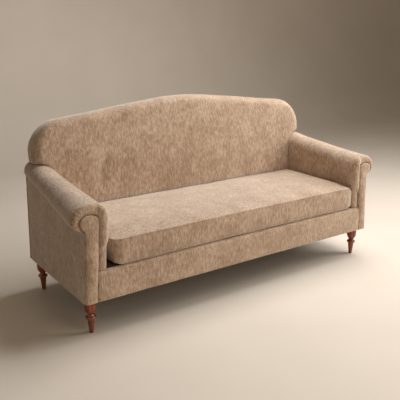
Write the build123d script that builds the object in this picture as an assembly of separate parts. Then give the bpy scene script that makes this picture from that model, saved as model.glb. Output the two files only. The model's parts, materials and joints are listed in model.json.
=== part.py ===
from build123d import *
import os
from math import cos, radians, sin, sqrt, tan

# Rolled arm loveseat with a camel back and one bench cushion.
# Millimetres. +X is to the right seen from the front, +Y is the rear, +Z is up.
# The origin is on the floor, in the middle of the width and of the depth.

# Overall
depth = 695.0
body_width = 1780.0
leg_height = 165.0
seat_height = 309.0

# Arms
arm_width = 100.0
arm_height_front = 622.0
arm_height_rear = 678.0
roll_overhang_front = 50.0
roll_overhang_rear = 10.0
arm_padding = 46.0
roll_padding_front = 50.0
roll_padding_rear = 36.0
roll_side_padding_front = 46.0
roll_side_padding_rear = 28.0
roll_lip = 20.0
roll_lip_rear = 6.0
rail_rounding = 0.48
arm_front_rounding = 18.0

# Facings and panels
facing_thickness = 20.0
facing_proud = 14.0
facing_rounding = 8.0
facing_notch_radius = 20.0
facing_edge_inset = 20.0
board_notch_radius = 10.0
panel_thickness = 10.0
panel_rounding = 4.0
panel_return_setback = 8.0
panel_return_rounding = 10.0
seam_gap = 1.0
fit_gap = 0.5

# Back
back_height = 957.0
back_inset = 7.0
hump_radius = 1700.0
hump_slope = 7.6
hollow_radius = 800.0
shoulder_slope = 6.4
shoulder_radius = 168.0
back_thickness = 142.0
back_lean = 47.0
back_wrap = 20.0
back_top_rounding = 46.0
back_rear_rounding = 24.0
back_rake = 3.0

# Seat cushion
cushion_side_gap = 12.0
cushion_front_gap = 3.0
cushion_back_gap = 1.5
cushion_thickness = 126.0
cushion_crown = 21.0
cushion_corner_radius = 50.0
cushion_drawn_in = 7.0
cushion_wall = 12.0
cushion_edge_inset = 12.0
cushion_slope_inset = 60.0
cushion_plateau = 188.5
cushion_slope_share = 0.55
rest_gap = 0.3

# Zip at the rear of the cushion
zip_end_gap = 128.0
zip_tape_height = 26.0
zip_tape_thickness = 1.5
zip_recess = 8.0
zip_chain_height = 6.0
zip_chain_thickness = 2.4
slider_length = 12.0
slider_wall = 1.6
slider_gap = 0.4

# Timber
board_thickness = 28.0
arm_board_thickness = 25.0
rail_setback = 24.0
side_rail_setback = 36.0
back_rail_setback = 95.0
brace_width = 45.0
brace_height = 60.0
brace_offset = 420.0
block_leg = 62.0
block_height = 80.0
leg_block_height = 50.0
front_leg_block_rear = 150.0
rear_leg_block_setback = 140.0
stretcher_height = 40.0
stretcher_thickness = 22.0
lining_thickness = 3.0
lining_lap_share = 0.4
post_setback = 85.0
post_depth = 40.0
lower_rail_rise = 16.0
lower_rail_height = 60.0
top_rail_depth = 260.0
upright_width = 50.0
upright_offset = 280.0

# Front border and seat deck
border_front = 8.0
border_lip_rear = 34.0
border_rounding = 14.0
deck_thickness = 15.0
deck_gap = 1.5

# Springs and webbing
spring_pitch = 140.0
spring_edge = 100.0
spring_wire = 4.0
spring_reach = 23.0
spring_bar_count = 19
spring_bend = 7.0
clip_length = 26.0
clip_depth = 16.0
clip_sheet = 1.6
tie_wire_diameter = 3.0
tie_wire_inset = 190.0
webbing_width = 50.0
webbing_thickness = 2.0
upright_webbing_count = 11
upright_webbing_pitch = 140.0
cross_webbing_count = 3
cross_webbing_pitch = 130.0
dust_cover_thickness = 1.5

# Legs and their fixings
leg_inset = 31.0
front_leg_setback = 68.0
rear_leg_setback = 53.0
leg_block_radius = 27.5
leg_foot_radius = 10.0
leg_shank_radius = 17.0
leg_bead_radius = 24.5
leg_neck_radius = 12.5
leg_foot_height = 70.0
leg_bead_height = 15.0
leg_neck_height = 92.0
leg_cup_height = 124.0
glide_radius = 9.0
glide_thickness = 4.0
glide_nail_radius = 1.25
glide_nail_length = 14.0
hanger_radius = 4.0
hanger_in_leg = 38.0
hanger_in_block = 48.0
tee_barrel_radius = 5.2
tee_barrel_length = 12.0
tee_flange_radius = 10.5
tee_flange_thickness = 1.5
hole_gap = 0.15

# Joinery
dowel_radius = 5.0
dowel_in_post = 16.0
dowel_in_rail = 30.0
dowel_edge = 20.0
dowel_spacing = 26.0
bolt_radius = 4.0
bolt_head_radius = 7.5
bolt_head_height = 5.3
bolt_in_block = 34.0
bolt_rise = 11.0
bolt_end = 20.0
screw_radius = 2.2
screw_head_radius = 4.2
screw_length = 46.0
screw_edge = 24.0

# Places worked out from the sizes above
front = -depth / 2
rear = depth / 2
outside_x = body_width / 2
panel_x = outside_x - panel_thickness
inside_x = outside_x - arm_width
frame_x = inside_x + arm_padding
rail_inside_x = frame_x - board_thickness
facing_back = front + facing_thickness
arm_taper_start = facing_back + arm_board_thickness
arm_pad_front = front + facing_proud
arm_pad_rear = rear - panel_thickness - fit_gap
deck_top = seat_height - rest_gap
deck_bottom = deck_top - deck_thickness
clip_height = spring_wire + 2 * clip_sheet
rail_top = deck_bottom - deck_gap - clip_height
rail_height = rail_top - leg_height
rail_front = front + rail_setback
rail_back = rail_front + board_thickness
back_rail_front = rear - back_rail_setback
back_rail_rear = back_rail_front + board_thickness
side_rail_end = rear - side_rail_setback
leg_x = outside_x - leg_inset
leg_block_top = leg_height + leg_block_height
back_half = outside_x - back_inset
back_face = rear - back_thickness
post_face = rear - post_setback
lower_rail_base = seat_height + lower_rail_rise - leg_block_top
lower_rail_top = lower_rail_base + lower_rail_height
top_rail_base = back_height - top_rail_depth - leg_block_top
cushion_front = front + cushion_front_gap
cushion_rear = back_face - cushion_back_gap
cushion_top_inset = (cushion_rear - cushion_front - cushion_plateau) / 2
zip_length = 2 * (inside_x - cushion_side_gap - zip_end_gap)
rake = radians(back_rake)
spring_z = rail_top + clip_sheet + spring_wire / 2

# The plane of the back frame's front face, leaning to the rear, from the top of the leg blocks
back_plane = Plane(
    origin=(0, post_face, leg_block_top),
    x_dir=(1, 0, 0),
    z_dir=(0, -cos(rake), sin(rake)),
)

os.makedirs("parts", exist_ok=True)


def save(name, shape):
    """Write one named piece."""
    export_step(shape, f"parts/{name}.step")


def save_pair(name, right):
    """Write a right-hand piece and its mirror image."""
    save(f"right_{name}", right)
    save(f"left_{name}", mirror(right, about=Plane.YZ))


def group(solids):
    """Several separate solids in one node."""
    return Compound(children=[solid for shape in solids for solid in shape.solids()])


def block(x, y, z):
    """A box between two limits on each axis."""
    size = [high - low for low, high in (x, y, z)]
    middle = [(high + low) / 2 for low, high in (x, y, z)]
    return Pos(*middle) * Box(*size)


def both_sides(shape):
    """A shape and its mirror image across the middle of the width."""
    return [shape, mirror(shape, about=Plane.YZ)]


def round_corner(start, end, centre):
    """Arc under a half circle between two points about a centre."""
    middle = Vector(centre)
    toward = (Vector(start) + Vector(end)) * 0.5 - middle
    bulge = middle + toward.normalized() * (Vector(start) - middle).length
    return ThreePointArc(start, bulge, end)


def face_at_depth(edges, y):
    """A front-view outline as a face at one depth."""
    return Plane.XZ.offset(-y) * make_face(edges)


def board_in_depth(edges, y_front, y_rear):
    """A front-view outline carried from one depth to another."""
    return extrude(face_at_depth(edges, y_rear), amount=y_rear - y_front)


def board_in_width(points, x_low, x_high):
    """A side-view polygon in depth and height carried across part of the width."""
    outline = Polyline(*points, close=True)
    return extrude(Plane.YZ.offset(x_low) * make_face(outline), amount=x_high - x_low)


def rod_x(x_low, x_high, y, z, radius):
    """A round rod along the width."""
    return Pos(x_low, y, z) * Rot(0, 90, 0) * Cylinder(
        radius, x_high - x_low, align=(Align.CENTER, Align.CENTER, Align.MIN)
    )


def rod_z(x, y, z_low, z_high, radius):
    """A round upright rod."""
    return Pos(x, y, z_low) * Cylinder(
        radius, z_high - z_low, align=(Align.CENTER, Align.CENTER, Align.MIN)
    )


class ArmSection:
    """Sizes of the right arm's cross-section at one depth."""

    def __init__(self, y):
        run = arm_pad_rear - arm_taper_start
        share = max(0.0, (y - arm_taper_start) / run)
        self.y = y
        self.top = arm_height_front + share * (arm_height_rear - arm_height_front)
        self.overhang = roll_overhang_front + share * (roll_overhang_rear - roll_overhang_front)
        self.roll_x = outside_x + self.overhang
        self.radius = (self.roll_x - inside_x) / 2
        self.centre_x = inside_x + self.radius
        self.centre_z = self.top - self.radius
        self.lip_z = self.centre_z - self.overhang
        self.rail_top = self.top - roll_padding_front - share * (roll_padding_rear - roll_padding_front)
        self.rail_bottom = self.lip_z + roll_lip + share * (roll_lip_rear - roll_lip)
        side_padding_gain = share * (roll_side_padding_rear - roll_side_padding_front)
        self.rail_x = self.roll_x - roll_side_padding_front - side_padding_gain
        rail_rise = self.rail_top - self.rail_bottom
        self.rail_radius = rail_rounding * min(rail_rise, self.rail_x - frame_x)
        self.lining_top = self.rail_bottom + lining_lap_share * rail_rise

    def roll_edges(self, grow=0.0):
        """The outer face of the arm, from the foot of the inside arm to the lip under the roll."""
        centre = (self.centre_x, self.centre_z)
        radius = self.radius + grow
        foot = (inside_x - grow, seat_height)
        side = (self.centre_x - radius, self.centre_z)
        crest = (self.centre_x, self.top + grow)
        outer = (self.roll_x + grow, self.centre_z)
        lip = (outside_x, self.lip_z - grow)
        return [
            Line(foot, side),
            round_corner(side, crest, centre),
            round_corner(crest, outer, centre),
            round_corner(outer, lip, (outside_x, self.centre_z)),
        ]

    def rail_points(self, gap=0.0):
        """Corners of the arm rail's moulded head, from its outer foot over to the inside face."""
        radius = self.rail_radius
        top = self.rail_top - gap
        outer = self.rail_x - gap
        inner = frame_x + gap
        return (
            (outer, self.rail_bottom + gap),
            (outer, top - radius),
            (outer - radius, top),
            (inner + radius, top),
            (inner, top - radius),
        )

    def rail_edges(self, gap=0.0):
        """The moulded head as lines and arcs."""
        low, side, shoulder, inner_shoulder, inside = self.rail_points(gap)
        return [
            Line(low, side),
            round_corner(side, shoulder, (shoulder[0], side[1])),
            Line(shoulder, inner_shoulder),
            round_corner(inner_shoulder, inside, (inner_shoulder[0], inside[1])),
        ]

    def pad_face(self):
        """The padding's hook-shaped section: inside arm, roll, and the lip under it."""
        rail_low, *_, inside = self.rail_points()
        lip = (outside_x, self.lip_z)
        lip_end = (panel_x, self.lip_z)
        lip_top = (panel_x, self.rail_bottom)
        foot = (frame_x, seat_height)
        edges = [
            *self.roll_edges(),
            Line(lip, lip_end),
            Line(lip_end, lip_top),
            Line(lip_top, rail_low),
            *self.rail_edges(),
            Line(inside, foot),
            Line(foot, (inside_x, seat_height)),
        ]
        return face_at_depth(edges, self.y)

    def solid_face(self, grow):
        """The whole arm above the seat as one filled section."""
        foot = (inside_x - grow, seat_height)
        lip = (outside_x, self.lip_z - grow)
        corner = (outside_x, seat_height)
        edges = [*self.roll_edges(grow), Line(lip, corner), Line(corner, foot)]
        return face_at_depth(edges, self.y)

    def rail_face(self, gap):
        """The arm rail's section, with its flat underside."""
        points = self.rail_points(gap)
        inner_low = (frame_x + lining_thickness, self.rail_bottom + gap)
        inner_high = (frame_x + lining_thickness, points[4][1])
        edges = [
            *self.rail_edges(gap),
            Line(points[4], inner_high),
            Line(inner_high, inner_low),
            Line(inner_low, points[0]),
        ]
        return face_at_depth(edges, self.y)


arm_front = ArmSection(arm_taper_start)
arm_rear = ArmSection(arm_pad_rear)
webbing_room = 2 * webbing_thickness + fit_gap
hollow_plane = back_plane.offset(webbing_room)
wide_sheet = Rectangle(2 * body_width, 2 * back_height)
behind_back_plane = extrude(back_plane * wide_sheet, amount=-depth)
behind_webbing = extrude(hollow_plane * wide_sheet, amount=-depth)


def scroll_edges(gap, outer_x, notch_radius):
    """Front view of the arm's scroll and pillar, from the floor side of the frame upward."""
    low, *_, inside = arm_front.rail_points(gap)
    notch = (outer_x, low[1])
    turn = (low[0], low[1] + notch_radius)
    turn_end = (low[0] - notch_radius, low[1])
    head = arm_front.rail_edges(gap)
    side = Line(turn, arm_front.rail_points(gap)[1])
    return [
        side,
        *head[1:],
        Line(inside, (inside[0], leg_height)),
        Line((inside[0], leg_height), (outer_x, leg_height)),
        Line((outer_x, leg_height), notch),
        Line(notch, turn_end),
        round_corner(turn_end, turn, (turn_end[0], turn[1])),
    ]


def make_facing():
    """Padded scroll facing, proud of the arm and rounded at its front edge."""
    edges = scroll_edges(seam_gap, outside_x - facing_edge_inset, facing_notch_radius)
    facing = board_in_depth(edges, front, facing_back)
    rim = facing.faces().sort_by(Axis.Y)[0].edges()
    return fillet(rim, facing_rounding)


def make_arm_front_board():
    """Scroll-headed board that carries the front of the arm."""
    edges = scroll_edges(fit_gap, panel_x - fit_gap, board_notch_radius)
    return board_in_depth(edges, facing_back, arm_taper_start)


def make_arm_pad():
    """Inside arm and roll, tapering to the rear, with its front edge rounded over the board."""
    start = extrude(arm_front.pad_face(), amount=arm_taper_start - arm_pad_front)
    rim = start.faces().sort_by(Axis.Y)[0].edges()
    rounding = min(arm_front_rounding, roll_lip - 2 * seam_gap)
    start = fillet([edge for edge in rim if is_roll_edge(edge)], rounding)
    taper = loft([arm_front.pad_face(), arm_rear.pad_face()], ruled=True)
    post_side = block(
        (0, frame_x + board_thickness + fit_gap),
        (front, rear),
        (0, back_height),
    )
    return start + taper - (behind_webbing & post_side)


def is_roll_edge(edge):
    """Whether a front edge of the arm is on its outside, and not round the opening for the board."""
    if edge.geom_type == GeomType.CIRCLE:
        return abs(edge.arc_center.Z - arm_front.centre_z) < fit_gap
    return abs(edge.center().X - inside_x) < fit_gap


def make_arm_rail():
    """Moulded arm rail from the front board to the back post."""
    rail = loft([arm_front.rail_face(fit_gap), arm_rear.rail_face(fit_gap)], ruled=True)
    return rail - behind_back_plane


def make_arm_stretcher():
    """Lower rail of the arm, between the front board and the back post."""
    stretcher = block(
        (frame_x + lining_thickness, frame_x + lining_thickness + stretcher_thickness),
        (arm_taper_start, rear),
        (seat_height, seat_height + stretcher_height),
    )
    return stretcher - behind_back_plane


def make_arm_lining():
    """Fibreboard lining that backs the inside arm, from the stretcher to the arm rail."""
    points = [
        (arm_taper_start, seat_height),
        (arm_taper_start, arm_front.lining_top),
        (arm_pad_rear, arm_rear.lining_top),
        (arm_pad_rear, seat_height),
    ]
    lining = board_in_width(points, frame_x, frame_x + lining_thickness)
    return lining - behind_webbing


def make_outside_arm():
    """Outside arm panel under the roll, returned round the front corner to the facing."""
    top_front = arm_front.lip_z - fit_gap
    top_rear = arm_rear.lip_z - fit_gap
    points = [
        (facing_back, leg_height),
        (facing_back, top_front),
        (arm_taper_start, top_front),
        (arm_pad_rear, top_rear),
        (arm_pad_rear, leg_height),
    ]
    panel = board_in_width(points, panel_x, outside_x)
    return_x = outside_x - facing_edge_inset + seam_gap
    return_y = (front + panel_return_setback, facing_back)
    panel += block((return_x, outside_x), return_y, (leg_height, top_front))
    panel += block((return_x, panel_x - seam_gap), return_y, (leg_height, arm_front.rail_bottom - fit_gap))
    front_edge, *_, rear_edge = panel.faces().sort_by(Axis.X)[-1].edges().filter_by(Axis.Z).sort_by(Axis.Y)
    panel = fillet(rear_edge, panel_rounding)
    return fillet(front_edge, panel_return_rounding)


def back_edges(inset, base, floor):
    """Front view of the back: hump, hollows, sloping shoulders and round ears, drawn in by an inset.

    Heights are measured from base, and the outline is closed by a straight line at floor.
    """
    steep = radians(hump_slope)
    slope = radians(shoulder_slope)
    hump = hump_radius - inset
    hollow = hollow_radius + inset
    peak = back_height - base - inset
    hump_x = hump * sin(steep)
    hump_z = peak - hump * (1 - cos(steep))
    centre_x = hump_x + hollow * sin(steep)
    centre_z = hump_z + hollow * cos(steep)
    hollow_x = centre_x - hollow * sin(slope)
    hollow_z = centre_z - hollow * cos(slope)
    half = back_half - inset
    ear_radius = shoulder_radius - inset
    ear_x = half - ear_radius
    slope_x = ear_x + ear_radius * sin(slope)
    slope_z = hollow_z - (slope_x - hollow_x) * tan(slope)
    ear_z = slope_z - ear_radius * cos(slope)
    return [
        Line((-half, floor), (-half, ear_z)),
        round_corner((-half, ear_z), (-slope_x, slope_z), (-ear_x, ear_z)),
        Line((-slope_x, slope_z), (-hollow_x, hollow_z)),
        round_corner((-hollow_x, hollow_z), (-hump_x, hump_z), (-centre_x, centre_z)),
        round_corner((-hump_x, hump_z), (hump_x, hump_z), (0, peak - hump)),
        round_corner((hump_x, hump_z), (hollow_x, hollow_z), (centre_x, centre_z)),
        Line((hollow_x, hollow_z), (slope_x, slope_z)),
        round_corner((slope_x, slope_z), (half, ear_z), (ear_x, ear_z)),
        Line((half, ear_z), (half, floor)),
        Line((half, floor), (-half, floor)),
    ]


def back_frame_blank(inset, thickness, floor):
    """The back frame's outline, leaning with the posts, carried to the rear by a thickness."""
    outline = back_plane * make_face(back_edges(inset, leg_block_top, floor))
    return extrude(outline, amount=-thickness)


def make_back_pad():
    """Padding of the back: leaning crowned front, rounded top and ears, hollow over the frame."""
    blank = board_in_depth(back_edges(0, 0, seat_height), back_face, arm_pad_rear)
    rise = back_height - seat_height
    lean_radius = (rise**2 + back_lean**2) / (2 * back_lean)
    half_rise = rise / 2
    half_lean = lean_radius - sqrt(lean_radius**2 - half_rise**2)
    profile = [
        ThreePointArc(
            (back_face, seat_height),
            (back_face + half_lean, seat_height + half_rise),
            (back_face + back_lean, back_height),
        ),
        Line((back_face + back_lean, back_height), (arm_pad_rear, back_height)),
        Line((arm_pad_rear, back_height), (arm_pad_rear, seat_height)),
        Line((arm_pad_rear, seat_height), (back_face, seat_height)),
    ]
    side = extrude(Plane.YZ.offset(-body_width) * make_face(profile), amount=2 * body_width)
    pad = blank & side
    foot = pad.faces().sort_by(Axis.Z)[0].edges()
    rear_rim = [e for e in pad.faces().sort_by(Axis.Y)[-1].edges() if e not in foot]
    pad = fillet(rear_rim, back_rear_rounding)
    front_face = pad.faces().sort_by(Axis.Y)[0]
    front_rim = [e for e in front_face.edges() if e.center().Z > seat_height + fit_gap]
    pad = fillet(front_rim, back_top_rounding)
    hollow = hollow_plane * make_face(back_edges(back_wrap, leg_block_top, -depth))
    pad -= extrude(hollow, amount=-depth)
    arm = loft([arm_front.solid_face(fit_gap), arm_rear.solid_face(fit_gap)], ruled=True)
    beside = block(
        (inside_x - fit_gap, body_width),
        (front, rear),
        (0, arm_front.centre_z),
    )
    for shape in both_sides(arm) + both_sides(beside):
        pad -= shape
    return pad.solids().sort_by(SortBy.VOLUME)[-1]


def make_back_post():
    """Leaning back post on the rear leg block, shaped to the ear at its top."""
    blank = back_frame_blank(back_wrap + fit_gap, post_depth, -depth / 4)
    limits = block(
        (frame_x, frame_x + board_thickness),
        (front, rear),
        (leg_block_top, back_height),
    )
    nut_room_top = leg_block_top + tee_flange_thickness + hole_gap
    nut_y = rear - rear_leg_setback
    nut_room = rod_z(leg_x, nut_y, leg_block_top, nut_room_top, tee_flange_radius + hole_gap)
    return (blank & limits) - nut_room


def back_member(x_low, x_high, low, high, thickness):
    """A straight board of the back frame, given by its width and its rise up the leaning plane."""
    outline = Pos((x_low + x_high) / 2, (low + high) / 2) * Rectangle(x_high - x_low, high - low)
    return extrude(back_plane * outline, amount=-thickness)


def make_back_top_rail():
    """Camel-shaped top rail between the posts."""
    blank = back_frame_blank(back_wrap + fit_gap, board_thickness, -depth / 4)
    return blank & back_member(-frame_x, frame_x, top_rail_base, back_height, board_thickness)


def back_strap(x_low, x_high, low, high, layer):
    """A strip of webbing on the front of the back frame, in one of its two layers."""
    outline = Pos((x_low + x_high) / 2, (low + high) / 2) * Rectangle(x_high - x_low, high - low)
    plane = back_plane.offset(layer * webbing_thickness)
    return extrude(plane * outline, amount=webbing_thickness)


def make_back_webbing():
    """Upright strips from the lower rail to the top rail, and cross strips over them."""
    low = lower_rail_base + lower_rail_height / 3
    high = top_rail_base + lower_rail_height / 2
    straps = []
    for index in range(upright_webbing_count):
        x = (index - (upright_webbing_count - 1) / 2) * upright_webbing_pitch
        straps.append(back_strap(x - webbing_width / 2, x + webbing_width / 2, low, high, 0))
    reach = frame_x + board_thickness / 3
    middle = (low + high) / 2
    for index in range(cross_webbing_count):
        rise = middle + (index - (cross_webbing_count - 1) / 2) * cross_webbing_pitch
        strap = back_strap(-reach, reach, rise - webbing_width / 2, rise + webbing_width / 2, 1)
        straps.append(strap)
    return group(straps)


def make_outside_back():
    """Outside back panel: hump and ears above, straight between the outside arms below."""
    panel = board_in_depth(back_edges(back_wrap, 0, leg_height), rear - panel_thickness, rear)
    skirt = block(
        (-outside_x, outside_x),
        (rear - panel_thickness, rear),
        (leg_height, arm_rear.rail_top),
    )
    panel += skirt
    rim = panel.faces().sort_by(Axis.Y)[-1].edges()
    return fillet(rim, panel_rounding)


def make_front_border():
    """Padded border on the front rail, turned over the rail's top edge."""
    y = front + border_front
    points = [
        (y, leg_height),
        (y, deck_top),
        (front + border_lip_rear, deck_top),
        (front + border_lip_rear, rail_top),
        (rail_front, rail_top),
        (rail_front, leg_height),
    ]
    border = board_in_width(points, seam_gap - frame_x, frame_x - seam_gap)
    top_edge = [
        edge
        for edge in border.faces().sort_by(Axis.Y)[0].edges().filter_by(Axis.X)
        if edge.center().Z > rail_top
    ]
    return fillet(top_edge, border_rounding)


def make_dust_cover():
    """Thin cloth under the whole frame, with a round opening at each leg."""
    edge_x = outside_x - panel_thickness / 2
    z = (leg_height - dust_cover_thickness, leg_height)
    cover = block((-edge_x, edge_x), (rail_front, rear - panel_thickness / 2), z)
    openings = [rod_z(x, y, *z, leg_block_radius + seam_gap) for x, y in leg_places().values()]
    return without(cover, openings)


def cushion_outline(inset, z):
    """Plan of the cushion at one height: round corners, and sides drawn in between them."""
    half_x = inside_x - cushion_side_gap - inset
    low = cushion_front + inset
    high = cushion_rear - inset
    radius = cushion_corner_radius
    draw = cushion_drawn_in
    middle = (low + high) / 2
    left = -half_x
    right = half_x
    edges = [
        ThreePointArc((left + radius, low), (0, low + draw), (right - radius, low)),
        round_corner((right - radius, low), (right, low + radius), (right - radius, low + radius)),
        ThreePointArc((right, low + radius), (right - draw, middle), (right, high - radius)),
        round_corner((right, high - radius), (right - radius, high), (right - radius, high - radius)),
        ThreePointArc((right - radius, high), (0, high - draw / 3), (left + radius, high)),
        round_corner((left + radius, high), (left, high - radius), (left + radius, high - radius)),
        ThreePointArc((left, high - radius), (left + draw, middle), (left, low + radius)),
        round_corner((left, low + radius), (left + radius, low), (left + radius, low + radius)),
    ]
    return Plane.XY.offset(z) * make_face(edges)


def cushion_form(wall):
    """Crowned cushion shape, drawn in by a wall all round."""
    bottom = seat_height + wall
    edge = cushion_thickness - 2 * wall
    seam = bottom + edge
    crown = cushion_crown - wall / 4
    levels = [
        (wall + cushion_edge_inset, bottom),
        (wall, bottom + edge / 8),
        (wall + cushion_drawn_in / 2, bottom + edge / 2),
        (wall, seam - edge / 9),
        (wall + cushion_edge_inset, seam),
        (wall + cushion_slope_inset, seam + crown * cushion_slope_share),
        (wall + cushion_top_inset, seam + crown),
    ]
    return loft([cushion_outline(inset, z) for inset, z in levels], ruled=True)


def zip_rear(setback):
    """Depth at a setback from the middle of the cushion's rear face."""
    drawn = cushion_drawn_in / 3 + cushion_drawn_in / 2
    return cushion_rear - drawn - setback


def zip_band(length, height, y_front, y_rear):
    """A strip along the rear of the cushion, at the height of the zip."""
    z = seat_height + cushion_thickness / 2
    return block((-length / 2, length / 2), (y_front, y_rear), (z - height / 2, z + height / 2))


def make_cushion_cover():
    """Cover and wadding of the bench cushion, with a slot for the zip at the rear."""
    slot = zip_band(zip_length, zip_tape_height, zip_rear(3 * cushion_wall), back_face)
    return cushion_form(0) - cushion_form(cushion_wall) - slot


def make_cushion_foam():
    """Foam core that fills the cover up to the zip tape."""
    room = zip_band(zip_length, zip_tape_height, zip_rear(zip_recess), back_face)
    return cushion_form(cushion_wall + rest_gap) - room


def make_zip_tape():
    """Zip tape across the slot, with the closed chain along its middle."""
    tape = zip_band(
        zip_length - 2 * hole_gap,
        zip_tape_height - 2 * hole_gap,
        zip_rear(zip_recess),
        zip_rear(zip_recess - zip_tape_thickness),
    )
    chain_face = zip_recess - zip_tape_thickness - zip_chain_thickness
    chain = zip_band(
        zip_length - 2 * slider_length,
        zip_chain_height,
        zip_rear(zip_recess - zip_tape_thickness),
        zip_rear(chain_face),
    )
    return tape + chain


def make_zip_slider():
    """Slider without a pull, riding over the chain at the closed end."""
    inner = zip_recess - zip_tape_thickness - slider_gap
    chain_face = zip_recess - zip_tape_thickness - zip_chain_thickness
    body = zip_band(
        slider_length,
        zip_chain_height + 2 * (slider_gap + slider_wall),
        zip_rear(inner),
        zip_rear(chain_face - slider_gap - slider_wall),
    )
    channel = zip_band(
        2 * slider_length,
        zip_chain_height + 2 * slider_gap,
        zip_rear(zip_recess),
        zip_rear(chain_face - slider_gap),
    )
    end = zip_length / 2 - 2 * slider_length
    ends = body.edges().filter_by(Axis.Y)
    return Pos(-end, 0, 0) * (fillet(ends, slider_wall) - channel)


def leg_places():
    """Middle of each leg on the floor, by its name."""
    depths = {"front": front + front_leg_setback, "rear": rear - rear_leg_setback}
    sides = {"left": -leg_x, "right": leg_x}
    return {
        f"{end}_{side}": (x, y) for end, y in depths.items() for side, x in sides.items()
    }


def leg_profile():
    """Half section of the turned leg: taper, bead, neck, cup and block."""
    low = glide_thickness
    bead_top = leg_foot_height + leg_bead_height
    bead_middle = leg_foot_height + leg_bead_height / 2
    block_base = leg_cup_height
    cup_mid_radius = (leg_neck_radius + leg_block_radius) / 2 + leg_bead_height / 4
    cup_mid_height = (leg_neck_height + leg_cup_height) / 2
    return [
        Line((0, low), (leg_foot_radius, low)),
        Line((leg_foot_radius, low), (leg_shank_radius, leg_foot_height)),
        ThreePointArc(
            (leg_shank_radius, leg_foot_height),
            (leg_bead_radius, bead_middle),
            (leg_shank_radius, bead_top),
        ),
        Line((leg_shank_radius, bead_top), (leg_neck_radius, leg_neck_height)),
        ThreePointArc(
            (leg_neck_radius, leg_neck_height),
            (cup_mid_radius, cup_mid_height),
            (leg_block_radius, block_base),
        ),
        Line((leg_block_radius, block_base), (leg_block_radius, leg_height)),
        Line((leg_block_radius, leg_height), (0, leg_height)),
        Line((0, leg_height), (0, low)),
    ]


def make_leg():
    """Turned leg with the bores for its hanger bolt and its glide's nail."""
    leg = revolve(Plane.XZ * make_face(leg_profile()), axis=Axis.Z)
    bolt_bore = rod_z(0, 0, leg_height - hanger_in_leg - hole_gap, leg_height, hanger_radius + hole_gap)
    nail_top = glide_thickness + glide_nail_length + hole_gap
    nail_bore = rod_z(0, 0, glide_thickness, nail_top, glide_nail_radius + hole_gap)
    return leg - bolt_bore - nail_bore


def make_glide():
    """Nail-on glide under a leg."""
    disc = rod_z(0, 0, 0, glide_thickness, glide_radius)
    disc = fillet(disc.faces().sort_by(Axis.Z)[0].edges(), glide_thickness / 4)
    nail = rod_z(0, 0, glide_thickness, glide_thickness + glide_nail_length, glide_nail_radius)
    return disc + nail


def make_hanger_bolt():
    """Bolt that joins a leg to the tee nut in its block."""
    return rod_z(0, 0, leg_height - hanger_in_leg, leg_height + hanger_in_block, hanger_radius)


def make_tee_nut():
    """Tee nut pressed into the top of a leg block."""
    barrel = rod_z(0, 0, leg_block_top - tee_barrel_length, leg_block_top, tee_barrel_radius)
    flange = rod_z(0, 0, leg_block_top, leg_block_top + tee_flange_thickness, tee_flange_radius)
    bore_top = leg_block_top + tee_flange_thickness
    bore = rod_z(0, 0, leg_block_top - tee_barrel_length, bore_top, hanger_radius + hole_gap)
    return barrel + flange - bore


def leg_block_bore():
    """Room in a leg block for the bolt and the tee nut's barrel."""
    bolt = rod_z(0, 0, leg_height, leg_block_top, hanger_radius + hole_gap)
    nut_low = leg_block_top - tee_barrel_length - hole_gap
    return bolt + rod_z(0, 0, nut_low, leg_block_top, tee_barrel_radius + hole_gap)


def leg_block_limits():
    """Front and rear of the front and the rear leg blocks."""
    return (
        (arm_taper_start, front + front_leg_block_rear),
        (rear - rear_leg_block_setback, side_rail_end),
    )


def frame_bolt_depths():
    """Depth of each frame bolt, near the inner end of its leg block."""
    front_block, rear_block = leg_block_limits()
    return front_block[1] - bolt_end, rear_block[0] + bolt_end


def frame_bolt_shank(y, gap):
    """Shank of a bolt through the right side rail, or its bore."""
    end = frame_x + bolt_in_block + gap
    return rod_x(rail_inside_x, end, y, leg_height + bolt_rise, bolt_radius + gap)


def make_frame_bolt(y):
    """Bolt through the right side rail into a leg block, with its head inside the seat."""
    low = rail_inside_x - bolt_head_height
    head = rod_x(low, rail_inside_x, y, leg_height + bolt_rise, bolt_head_radius)
    return frame_bolt_shank(y, 0) + head


def frame_bolt_bores():
    """Bores for the right side's frame bolts."""
    return [frame_bolt_shank(y, hole_gap) for y in frame_bolt_depths()]


def make_right_leg_blocks():
    """Blocks under the right arm that take its two legs."""
    depths = (front + front_leg_setback, rear - rear_leg_setback)
    blocks = []
    for (low, high), y in zip(leg_block_limits(), depths):
        piece = block((frame_x, panel_x - fit_gap), (low, high), (leg_height, leg_block_top))
        piece -= Pos(leg_x, y, 0) * leg_block_bore()
        for bore in frame_bolt_bores():
            piece -= bore
        blocks.append(piece)
    return blocks


def corner_screw_places():
    """Start and direction of the screws through each right-hand corner block."""
    rise = (rail_height - block_height) / 2
    base = leg_height + rise
    levels = (base + screw_edge, base + block_height - screw_edge)
    along = screw_edge
    places = []
    for wall, step in ((rail_back, 1), (back_rail_front, -1)):
        start = (rail_inside_x - along, wall + step * (block_leg - along), levels[0])
        places.append((start, (0, -step, 0)))
        start = (rail_inside_x - (block_leg - along), wall + step * along, levels[1])
        places.append((start, (1, 0, 0)))
    return places


def screw_shape(start, direction, gap):
    """A countersunk screw from the sloping face of a corner block, or its bore."""
    plane = Plane(origin=start, z_dir=direction)
    upright = (Align.CENTER, Align.CENTER, Align.MIN)
    shank = Cylinder(screw_radius + gap, screw_length + gap, align=upright)
    head = Cone(screw_head_radius + gap, screw_radius + gap, screw_head_radius, align=upright)
    shape = shank + head
    if gap:
        lead = Cylinder(screw_head_radius + gap, block_leg, align=(Align.CENTER, Align.CENTER, Align.MAX))
        shape += lead
    return plane * shape


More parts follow.
